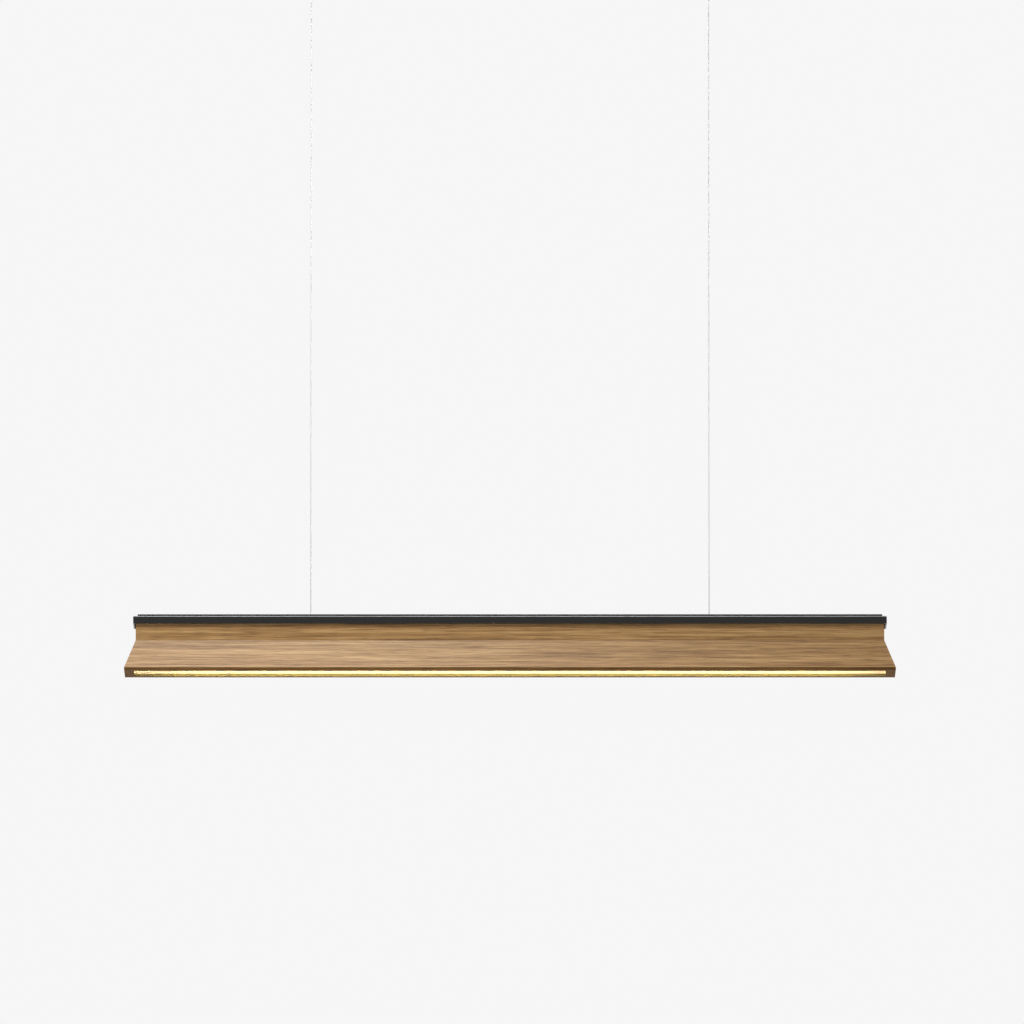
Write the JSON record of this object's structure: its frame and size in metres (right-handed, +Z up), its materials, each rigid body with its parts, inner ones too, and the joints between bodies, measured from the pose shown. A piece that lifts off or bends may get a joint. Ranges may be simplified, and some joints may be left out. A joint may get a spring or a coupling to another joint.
{
  "type": "linear chandelier",
  "caption": "Linear pendant lamp with a flared wooden shade and black metal top, hung level on steel cables from a slim ceiling canopy.",
  "frame": {"origin": "middle of the two outlet box holes, on the mounting plate's upper face at the ceiling", "axes": "+X along the lamp towards its right end seen from the front, -Y the front, +Z up into the ceiling"},
  "size_m": [1.219, 0.102, 1.1561],
  "materials": {
    "black_metal": "satin black anodised",
    "black_steel": "black powder coat",
    "zinc_steel": "zinc plated",
    "screw_steel": "blackened",
    "nickel_brass": "nickel plated",
    "cable_steel": "stranded stainless",
    "nylon": "moulded",
    "walnut": "oiled, grain along each panel",
    "tray_aluminium": "mill finish",
    "board_white": "white solder mask",
    "chip_phosphor": "phosphor",
    "opal_lens": "opal",
    "driver_white": "moulded",
    "lead_black": "insulated",
    "lead_red": "insulated"
  },
  "bodies": {
    "canopy": {"mounting_plate": "zinc_steel", "canopy_cover": "black_steel", "canopy_screws": "screw_steel", "driver_case": "driver_white", "driver_screws": "zinc_steel", "supply_terminal": "nylon", "terminal_screws": "zinc_steel", "supply_leads": "lead_black", "left_ceiling_socket": "nickel_brass", "right_ceiling_socket": "nickel_brass", "socket_bushes": "nylon", "socket_nuts": "nickel_brass", "left_output_lead": "lead_red", "right_output_lead": "lead_black", "left_cable_tail": "cable_steel", "right_cable_tail": "cable_steel"},
    "swivel_rings": {"left_swivel_ring": "nickel_brass", "right_swivel_ring": "nickel_brass"},
    "left_gripper": {"left_swivel_head": "nickel_brass", "left_gripper_barrel": "nickel_brass", "left_gripper_spring": "zinc_steel", "left_cable": "cable_steel"},
    "right_gripper": {"right_swivel_head": "nickel_brass", "right_gripper_barrel": "nickel_brass", "right_gripper_spring": "zinc_steel", "right_cable": "cable_steel"},
    "left_release": {"left_release_plunger": "nickel_brass", "left_grip_balls": "zinc_steel"},
    "right_release": {"right_release_plunger": "nickel_brass", "right_grip_balls": "zinc_steel"},
    "left_cable_end": {"left_ball_ferrule": "zinc_steel"},
    "right_cable_end": {"right_ball_ferrule": "zinc_steel"},
    "seat_rings": {"left_seat_ring": "nickel_brass", "right_seat_ring": "nickel_brass"},
    "lamp": {"anchor_bushes": "nylon", "anchor_nuts": "nickel_brass", "left_feed_wire": "lead_red", "right_feed_wire": "lead_black", "lid": "black_metal", "lid_screws": "screw_steel", "top_channel": "black_metal", "left_end_cap": "black_metal", "right_end_cap": "black_metal", "shade_front_panel": "walnut", "shade_rear_panel": "walnut", "shade_left_panel": "walnut", "shade_right_panel": "walnut", "shade_screws": "screw_steel", "corner_brackets": "zinc_steel", "bracket_screws": "zinc_steel", "led_tray": "tray_aluminium", "tray_spacers": "tray_aluminium", "tray_screws": "zinc_steel", "led_boards": "board_white", "led_chips": "chip_phosphor", "lens": "opal_lens", "lens_end_plugs": "board_white", "left_anchor_socket": "nickel_brass", "right_anchor_socket": "nickel_brass"}
  },
  "joints": [
    {"name": "swing", "type": "hinge", "parent": "canopy", "child": "swivel_rings", "pos_m": [0, 0, -0.027], "axis": [1, 0, 0], "range_deg": [-15, 15]},
    {"name": "left_sway", "type": "hinge", "parent": "swivel_rings", "child": "left_gripper", "pos_m": [-0.315, 0, -0.027], "axis": [0, 1, 0], "range_deg": [-15, 15]},
    {"name": "right_sway", "type": "hinge", "parent": "swivel_rings", "child": "right_gripper", "pos_m": [0.315, 0, -0.027], "axis": [0, 1, 0], "range_deg": [-15, 15]},
    {"name": "left_cable_release", "type": "slide", "parent": "left_gripper", "child": "left_release", "axis": [0, 0, 1], "range_m": [0, 0.002], "stiffness_N_per_m": 1200, "springref_m": -0.003, "deforming": ["left_gripper_spring"]},
    {"name": "right_cable_release", "type": "slide", "parent": "right_gripper", "child": "right_release", "axis": [0, 0, 1], "range_m": [0, 0.002], "stiffness_N_per_m": 1200, "springref_m": -0.003, "deforming": ["right_gripper_spring"]},
    {"name": "left_height", "type": "slide", "parent": "left_gripper", "child": "left_cable_end", "axis": [0, 0, 1], "range_m": [0, 0.75], "deforming": ["left_cable"]},
    {"name": "right_height", "type": "slide", "parent": "right_gripper", "child": "right_cable_end", "axis": [0, 0, 1], "range_m": [0, 0.75], "deforming": ["right_cable"]},
    {"name": "lamp_level", "type": "hinge", "parent": "left_cable_end", "child": "seat_rings", "pos_m": [-0.315, 0, -1.0735], "axis": [0, 1, 0], "range_deg": [-15, 15]},
    {"name": "lamp_roll", "type": "hinge", "parent": "seat_rings", "child": "lamp", "pos_m": [0, 0, -1.0735], "axis": [1, 0, 0], "range_deg": [-15, 15]}
  ],
  "couplings": [
    {"joint": "right_sway", "follows": "left_sway", "ratio": 1},
    {"joint": "right_height", "follows": "left_height", "ratio": 1},
    {"joint": "lamp_level", "follows": "left_sway", "ratio": -1}
  ]
}
